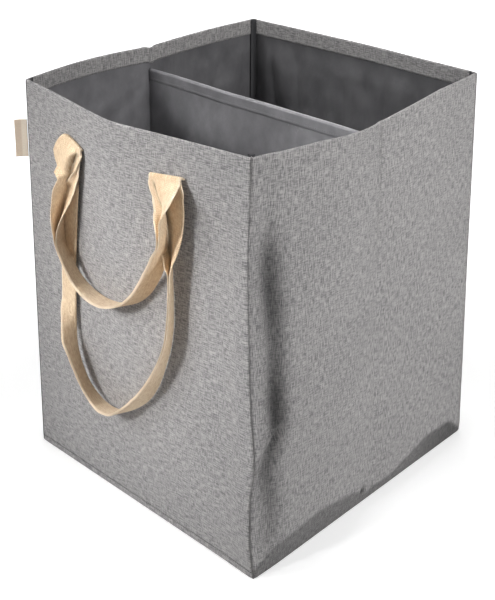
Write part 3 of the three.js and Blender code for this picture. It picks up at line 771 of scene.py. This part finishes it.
longRoute = [
    (-60, -1.2, 459, 5, 45, 90, 90), (-60.5, -1.2, 450, 6, 42, 90, 80), (-61, -1.3, 440, 6, 36, 90, 50),
    (-62.5, -1.2, 428, 6, 29, 88, 0), (-64.5, -1, 416, 11, 26, 88, -62), (-66, -0.8, 402, 24, 25, 88, -86),
    (-68.5, -0.5, 388, 88), (-75, 0, 351, 88), (-82, 0, 307, 88), (-86, 0, 264, 24, 24, 87, -87),
    (-87, 0, 251, 22, 22, 80, -80), (-88, 0.1, 241, 21, 21, 68, -68), (-88.5, 0.2, 231, 19, 19, 48, -48),
    (-89, 0.3, 222, 19, 19, 27, -27), (-89.6, 0.4, 213, 21, 21, 8, -8), (-90, 0.5, 205, 24, 24, -6, 6),
    (-89.5, 0.6, 197, -16), (-88, 0.8, 187, -23), (-81.5, 1, 168, -29), (-69, 1.2, 149, -30),
    (-50, 1.2, 136.5, -24), (-28, 1.2, 132, -13), (-6, 1.2, 137, -10), (18, 1.2, 152.5, -18),
    (41, 1.2, 174.5, -22), (57.5, 1, 200, -12), (69, 0.8, 228, 4), (78, 0.6, 255, 16), (83.2, 0.4, 281, 26),
    (85, 0.2, 315, 33), (85, 0.1, 345, 37), (84.8, 0, 364, 24, 25, 40, -38),
    (84.5, -0.2, 374, 13, 24, 47, -10), (84.2, -0.4, 381, 11, 22.5, 57, 45),
    (83.9, -0.6, 389, 14, 21.5, 68, 84), (83.2, -0.8, 399, 19, 21.5, 80, 90),
    (81.5, -1, 411, 21, 22.5, 88, 90), (77.5, -1.1, 425, 19, 27, 90, 90), (71, -1.1, 439, 13, 33, 90, 90),
    (64, -1.2, 450, 8, 41, 90, 90), (60, -1.2, 459, 5, 45, 90, 90)]


def filled(row):
    if len(row) == 4:
        row = (*row[:3], strap["half"], strap["half"], row[3], -row[3])
    return (*row, 0)[:8]


def catmull(rows, along):
    # a smooth curve through the rows: each stretch is a cubic that shares its neighbours' slopes
    rows = np.asarray(rows, float)
    knots = runAlong(*rows[:, :3].T)
    slope = np.gradient(rows, knots, axis=0)
    at = along * knots[-1]
    i = np.clip(np.searchsorted(knots, at, side="right") - 1, 0, len(knots) - 2)
    h = (knots[i + 1] - knots[i])[:, None]
    t = ((at - knots[i])[:, None]) / h
    a, b = rows[i], rows[i + 1]
    curve = ((2 * t ** 3 - 3 * t ** 2 + 1) * a + (t ** 3 - 2 * t ** 2 + t) * h * slope[i]
             + (3 * t ** 2 - 2 * t ** 3) * b + (t ** 3 - t ** 2) * h * slope[i + 1])
    straight = a + (b - a) * t
    curve[:, 3:] = straight[:, 3:]
    return curve, knots[-1]


def foldLift(side, c):
    # the fold's line on the left anchor drops at both ends, most at its outer one; on the right
    # anchor it rises a little outwards
    half, peak = strap["half"], anchor["peak"]
    if side < 0:
        outer = anchor["outerDrop"] * np.clip((c - peak) / (half - peak), 0, 1) ** 1.9
        return -outer - anchor["innerDrop"] * np.clip((peak - c) / (half + peak), 0, 1) ** 1.5
    return anchor["rightDrop"] * ((c + half) / (2 * half) - 1)


def foldPuff(side, c):
    # how much further the roll stands off the wall towards its outer end
    half, peak = strap["half"], anchor["peak"]
    if side < 0:
        return anchor["leftPuff"] * np.clip((c + peak) / (half + peak), 0, 1) ** 1.4
    return anchor["rightPuff"] * (c + half) / (2 * half)


def wallOut(face, x, z):
    # the wall behind a strap; the back pair is the front pair turned half round
    return handleFaceOut(face, x if face == "front" else -x, np.clip(z, 0, bag["height"]))


def huggingPoints(face, side, c, z, off):
    # flat webbing against the wall: c runs across it from its inner to its outer selvage
    x = -(strap["span"] + c) if side < 0 else strap["span"] - anchor["shift"] + c * anchor["gather"]
    return stacked(x, -wallOut(face, x, z) - off, z)


def unit(vectors):
    return vectors / np.linalg.norm(vectors, axis=1)[:, None]


def strapGrid(face, route, sewnOff, loopOff):
    # The webbing is two halves that turn about a crease: a point w off the crease lies at
    # crease + (outer - inner)/2 * w + (outer + inner)/2 * (rounded |w|), where outer and inner are
    # the directions of the halves. At each end the webbing rolls over its sewn end on a half circle.
    half = strap["half"]
    filledRoute = [filled(row) for row in route]
    count = int(round(catmull(filledRoute, np.array([0.0]))[1] / strap["step"]))
    rows, _ = catmull(filledRoute, np.linspace(0, 1, count))
    x, out, z = rows[:, 0], strap["foldOut"][face] + rows[:, 1], rows[:, 2]
    # below the anchors the webbing leans in towards the wall, along the photograph's line of sight
    aside, down = strap["lineOfSight"]
    lean = np.clip(out - wallOut(face, x, z) - 1.6, 0, strap["lean"]) * (1 - soften(z, 330, 425))
    crease = stacked(x - aside * lean, lean - out, z - down * lean)
    high, left = crease[:, 2], crease[:, 0] < 0
    # near the anchors the webbing is cut level, below them square to its own way
    tangent = unit(np.gradient(crease, axis=0))
    level = soften(high, 392, 415)[:, None] * np.array([0, 0, 1.0]) * np.sign(tangent[:, 2:])
    tangent = unit(tangent * (1 - np.abs(level[:, 2:])) + level)
    sideways = unit(np.cross(tangent, np.broadcast_to([0.0, -1.0, 0.0], tangent.shape)))
    normal = np.cross(sideways, tangent)
    spread = np.linspace(0, 1, 20) ** 1.35
    q = np.concatenate([-spread[:0:-1], spread])
    inner, outer = rows[:, 3:4], rows[:, 4:5]
    w = np.where(q < 0, q * inner, q * outer)
    turnO, turnI = np.radians(rows[:, 5])[:, None], np.radians(rows[:, 6])[:, None]
    o = np.cos(turnO) * normal + np.sin(turnO) * sideways
    i = np.cos(turnI) * normal - np.sin(turnI) * sideways
    middle = (turnO - turnI) / 2
    apart = -np.sin(middle) * normal + np.cos(middle) * sideways
    r = strap["crease"]
    rounded = np.hypot(w, r) - r
    points = (crease[:, None] + (o - i)[:, None] / 2 * w[..., None] + (o + i)[:, None] / 2 * rounded[..., None]
              + apart[:, None] * (strap["halfGap"] * np.tanh(w / r))[..., None])
    # a lip along the outer half, highest 5.5 mm off the crease
    reach = np.clip(w / 5.5, 0, None)
    points = points + normal[:, None] * (rows[:, 7:8] * reach * np.exp(1 - reach))[..., None]
    # near the fold the webbing lies on the wall
    c = np.clip(inner - half + w, -half, half)
    drop = strap["fold"] - high
    hug = (1 - soften(drop, 1, 14)) * (np.abs(crease[:, 0]) > 55)
    for s in (-1, 1):
        mine = (left == (s < 0)) & (drop < strap["hugDrop"])
        lift = foldLift(s, c[mine]) * (1 - soften(drop[mine], 0, strap["hugDrop"]))[:, None]
        points[mine, :, 2] += lift
        flat = huggingPoints(face, s, c[mine], high[mine][:, None] + lift, loopOff + foldPuff(s, c[mine]))
        points[mine] = points[mine] + (flat - points[mine]) * hug[mine][:, None, None]
    # the roll over each sewn end
    roll = np.linspace(math.pi, 0, 12)[:-1]
    arcs = []
    for s, edge in ((-1, 0), (1, -1)):
        radius = (loopOff + foldPuff(s, c[edge]) - sewnOff) / 2
        base = strap["fold"] - strap["roll"] + foldLift(s, c[edge])
        rise = strap["roll"] + 0.6 * (radius - 1)
        arcs.append(np.stack([huggingPoints(face, s, c[edge], base + rise * math.sin(t),
                                            sewnOff + radius * (1 + math.cos(t))) for t in roll]))
    # painted shade: the crease is darkened where it is deep, beside each anchor
    deep = np.where(left, soften(high, 398, 412), soften(high, 420, 430)) * (1 - soften(high, 444, 456))
    shade = deep[:, None] * hill(w, -0.5, 2.6) * 0.8
    # painted shade in the gap between the long strap's halves below its right anchor
    if route is longRoute:
        gap = ~left * soften(high, 360, 378) * (1 - soften(high, 425, 440))
        shade = np.maximum(shade, gap[:, None] * hill(w, 0, 7) * 0.9)
    ends = ((len(roll), len(roll)), (0, 0))
    points = np.concatenate([arcs[0], points, arcs[1][::-1]])
    return points, np.pad(c, ends, mode="edge"), np.pad(shade, ends)


def sheetNormals(points):
    n = np.cross(np.gradient(points, axis=0), np.gradient(points, axis=1))
    return n / np.maximum(np.linalg.norm(n, axis=-1, keepdims=True), 1e-9)


def closedBand(name, face, points, c, shade):
    # webbing given by its middle surface: both faces, the selvages (rounded off) and the cut ends
    normal = sheetNormals(points)
    edge = np.clip((np.abs(c) - strap["half"]) / strap["selvage"] + 1, 0, 1)
    deep = (strap["thickness"] / 2 * np.sqrt(1 - 0.85 * edge ** 2))[..., None]
    rows, columns = c.shape
    pattern = stacked(c, runAlong(*points[:, columns // 2].T)[:, None]).reshape(-1, 2)
    n = rows * columns
    faces = gridFaces(rows, columns, flip=True)
    a = np.arange(rows - 1) * columns
    b = a + columns - 1
    e = np.arange(columns - 1)
    f = e + (rows - 1) * columns
    rims = ([a + n, a + columns + n, a + columns, a], [b + columns, b + columns + n, b + n, b],
            [e, e + n, e + 1 + n, e + 1], [f, f + 1, f + 1 + n, f + n])
    faces = np.concatenate([faces, faces[:, ::-1] + n] + [np.stack(rim, axis=1) for rim in rims])
    both = np.concatenate([(points + normal * deep).reshape(-1, 3), (points - normal * deep).reshape(-1, 3)])
    if face == "back":
        both = both * np.array([-1.0, -1.0, 1.0])
    return makePiece(name, both, webbing, np.concatenate([pattern, pattern]),
                     dict(shade=np.concatenate([shade, shade])), faces=faces)


def addSewnEnd(face, side, name, off):
    # the end lies flat on the wall below the fold, its top edge under the roll
    c = np.linspace(-strap["half"], strap["half"], 40)[None, :]
    t = np.linspace(0, 1, 16)[:, None]
    low = strap["fold"] - strap["sewn"] + 0 * c
    high = np.maximum(strap["fold"] - 2.5 + foldLift(side, c), low + 8)
    within = c * 0.86 - side * 2.4
    points = huggingPoints(face, side, within + 0 * t, low + (high - low) * t, off - 0.3)
    return closedBand(name, face, points[::-1], c + 0 * t, 0 * c * t)


def addHandles():
    made = []
    for face in handleFaces:
        for length, route, flat in (("short", shortRoute, 0.56), ("long", longRoute, 0.84)):
            stem, offs = f"{face}_{length}", strap[length]
            loop = closedBand(camel(stem) + "Strap", face, *strapGrid(face, route, **offs))
            made.append((loop, f"{stem}_handle", (0.05, flat)))
            for side, end in ((-1, "left"), (1, "right")):
                piece = addSewnEnd(face, side, camel(f"{stem}_{end}_end"), offs["sewnOff"])
                made.append((piece, f"{stem}_handle_{end}_end", (0.05, 0.021)))
    return made


# tab
tab = dict(low=405.0, high=451.0, reach=15.0, halfGap=0.45)


def addTab():
    # a ribbon folded on itself: out along the diagonal of the corner, round its fold and back
    run = np.linspace(0, tab["reach"] - 1.0, 12)
    bend = np.linspace(-math.pi / 2, math.pi / 2, 7)[1:-1]
    g = tab["halfGap"]
    reach = np.concatenate([run, run[-1] + 0.9 * np.cos(bend), run[::-1]])
    off = np.concatenate([np.full(12, -g), g * np.sin(bend), np.full(12, g)])
    length = runAlong(reach, off)
    z = np.linspace(tab["low"], tab["high"], 30)[:, None]
    arc = (z - tab["low"]) / (tab["high"] - tab["low"]) * math.pi * 1.3
    across = off + 0.9 * np.sin(arc) * (reach / tab["reach"]) ** 1.5
    # the corner's diagonal, and the way square to it
    away, across = (reach - 0.6) / math.sqrt(2), across / math.sqrt(2)
    up = z / bag["height"]
    points = stacked(-halfWidth(up) - away - across, -halfDepth(up) - away + across, z + 0.35 * np.sin(reach / 4))
    shade = 1 - soften(reach, 6.0, 8.0) + 0 * z
    return makePiece("cornerTab", points, ribbon, stacked(length, z), dict(shade=shade), 0.5, flip=True)


# stitching
stitch = dict(pitch=3.4, length=2.5, radius=0.32, sunk=0.02, hemAt=482.2, dividerAt=460.0, seamOff=2.4,
              seamHigh=494.0, seamLow=330.0)


def stitchRun(line, normal):
    # Stitches along a line of points: each is a small six-sided grain, full in its middle,
    # lying along the line and half sunk in the cloth.
    length, radius = stitch["length"], stitch["radius"]
    at = runAlong(*line.T)
    places = np.arange(stitch["pitch"] / 2, at[-1], stitch["pitch"])

    def along(values, shift=0.0):
        return np.stack([np.interp(places + shift, at, values[:, k]) for k in range(3)], axis=-1)

    way = unit(along(line, length / 2) - along(line, -length / 2))
    aside = unit(np.cross(way, along(normal)))
    up = np.cross(aside, way)
    t = np.array([-1, -0.6, 0.6, 1])
    fat = np.array([0.35, 1, 1, 0.35])
    a, b = np.meshgrid(np.arange(4), np.linspace(0, 2 * math.pi, 7)[:-1], indexing="ij")
    local = stacked(t[a] * length / 2, np.cos(b) * fat[a] * radius, (np.sin(b) * fat[a] + 0.35) * radius)
    local = local.reshape(-1, 3)
    points = (along(line)[:, None] + way[:, None] * local[None, :, :1] + aside[:, None] * local[None, :, 1:2]
              + up[:, None] * local[None, :, 2:])
    faces = [(j * 6 + k, j * 6 + (k + 1) % 6, (j + 1) * 6 + (k + 1) % 6, (j + 1) * 6 + k)
             for j in range(3) for k in range(6)]
    faces += [(0, 3, 2, 1), (0, 5, 4, 3), (18, 19, 20, 21), (18, 21, 22, 23)]
    faces = np.array(faces)[:, ::-1] + (np.arange(len(places)) * 24)[:, None, None]
    return points.reshape(-1, 3), faces.reshape(-1, 4)


def addStitches(name, runs, material):
    # runs are (line, normal) pairs; all their stitches are one piece
    allPoints, allFaces, base = [], [], 0
    for line, normal in runs:
        points, faces = stitchRun(line, normal)
        allPoints.append(points)
        allFaces.append(faces + base)
        base += len(points)
    return makePiece(name, np.concatenate(allPoints), material, faces=np.concatenate(allFaces))


def wallLine(side, share, z, depth, way=1):
    # a stitch line on a wall and its normal, which points out, or in where way is -1
    points, _ = wallPoints(side, share + 0 * z, z + 0 * share, depth)
    return points, np.tile(np.array([*signs[side], 0.0]) * way, (len(points), 1))


# floor and world
def addFloor():
    g = Graph("studioFloor")
    paint = g.add("BsdfDiffuse", {"Color": (light["floorColour"],) * 3})
    # away from the bag the floor brightens into the white surround
    x, y, _ = g.split(g.place())
    far = ((x * x + y * y) ** 0.5).step(light["nearRing"], light["farRing"])
    lift = g.mix(far, (light["nearLift"],) * 3, (light["farLift"],) * 3)
    glow = g.add("Emission", {"Color": lift, "Strength": 1.0})
    black = g.add("Emission", {"Color": (0, 0, 0), "Strength": 0.0})
    seenGlow = g.add("MixShader", [g.rays("Camera", "Glossy", "Transmission"), black, glow])
    surface = g.end(g.add("AddShader", [paint, seenGlow]))
    size = light["floorHalf"]
    corners = [(-size, -size, 0), (size, -size, 0), (size, size, 0), (-size, size, 0)]
    makePiece("floor", corners, surface, faces=[[0, 1, 2, 3]], smooth=False)


def addWorld():
    # white where the camera sees it, and a plain soft light for everything else
    g = Graph("studio", "worlds")
    ambient, white = (g.add("Background", {"Color": (1, 1, 1), "Strength": strength})
                      for strength in (light["world"], 1.0))
    shader = g.add("MixShader", [g.rays("Camera", "Glossy"), ambient, white])
    bpy.context.scene.world = g.end(shader, "OutputWorld")


def dress(piece, node, slot, body="bag", **sheet):
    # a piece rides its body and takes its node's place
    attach(piece, body)
    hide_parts(node)


# the scene
addCamera()
for name, lamp in lamps.items():
    addLamp(name, *lamp)

for side in signs:
    dress(addOuterCloth(side), f"{side}_panel", "melange_cloth",
          flat=(0.400, 0.524), held="hung", rests_on=[f"{side}LiningCloth"])
    for piece, node in addBoards(side):
        dress(piece, node, "stiff_board")
    dress(addLining(side), f"{side}_lining", "lining_cloth",
          flat=(0.392, 0.497), held="hung", rests_on=[f"{side}Cloth"])
print("stage 3: walls, boards and linings")

for piece, node, slot, flat in addDivider() + addFloorCloths():
    if flat:
        rests = dict(dividerHem=["dividerFrontPly"], baseCloth=["floor"]).get(piece.name, ["baseCloth"])
        held = "folded" if piece.name == "dividerHem" else "stretched"
        dress(piece, node, slot, flat=flat, held=held, rests_on=rests)
    else:
        dress(piece, node, slot)
for piece, node in addBottomBoards():
    dress(piece, node, "stiff_board", node.replace("_board", ""))
for piece, node in addCornerBindings():
    dress(piece, node, "binding_tape", flat=(0.010, 0.499), held="folded", rests_on=["frontLiningCloth"])
print("stage 4: divider, floor and bindings")

for piece, node, flat in addHandles():
    face = node.split("_")[0]
    if node.endswith("_handle"):
        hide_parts(node)
        fold = strap["foldOut"][face] * (-1 if face == "front" else 1)
        fold * mm
        fold * mm
        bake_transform(piece)
    else:
        dress(piece, node, "webbing", flat=flat, held="stretched", rests_on=[f"{face}Cloth"])
dress(addTab(), "corner_tab", "tab_ribbon", flat=(0.031, 0.046), held="folded", rests_on=["frontCloth"])
print("stage 5: handles and tab")

shares = np.linspace(-0.985, 0.985, 240)
sunk = stitch["sunk"]
hemRuns = [wallLine(side, shares, stitch["hemAt"], bag["rimDepth"] + sunk, -1) for side in signs]
footRuns = [wallLine(side, shares, bag["footSeam"], -sunk) for side in handleFaces]
heights = np.linspace(stitch["seamHigh"], stitch["seamLow"], 120)
seamRuns = [wallLine(side, off / 185, heights, -sunk)
            for side in ("right", "left") for off in (-stitch["seamOff"], stitch["seamOff"])]
x01 = np.linspace(0.01, 0.99, 200)
off = divider["hemAt"] + divider["hemThickness"]
dividerRuns = [(dividerPoints(x01, stitch["dividerAt"] + 0 * x01, sign * off),
                np.tile([0.0, sign, 0.0], (len(x01), 1))) for sign in (-1, 1)]
for name, runs, thread, slot in (("hemStitches", hemRuns, greyThread, "melange_cloth"),
                                 ("footStitches", footRuns, darkThread, "melange_cloth"),
                                 ("seamStitches", seamRuns, greyThread, "melange_cloth"),
                                 ("dividerStitches", dividerRuns, duskThread, "lining_cloth")):
    piece = addStitches(name, runs, thread)
    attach(piece, "bag")
print("stage 6: stitching")

addFloor()
addWorld()
bpy.context.scene.view_settings.view_transform = "Standard"
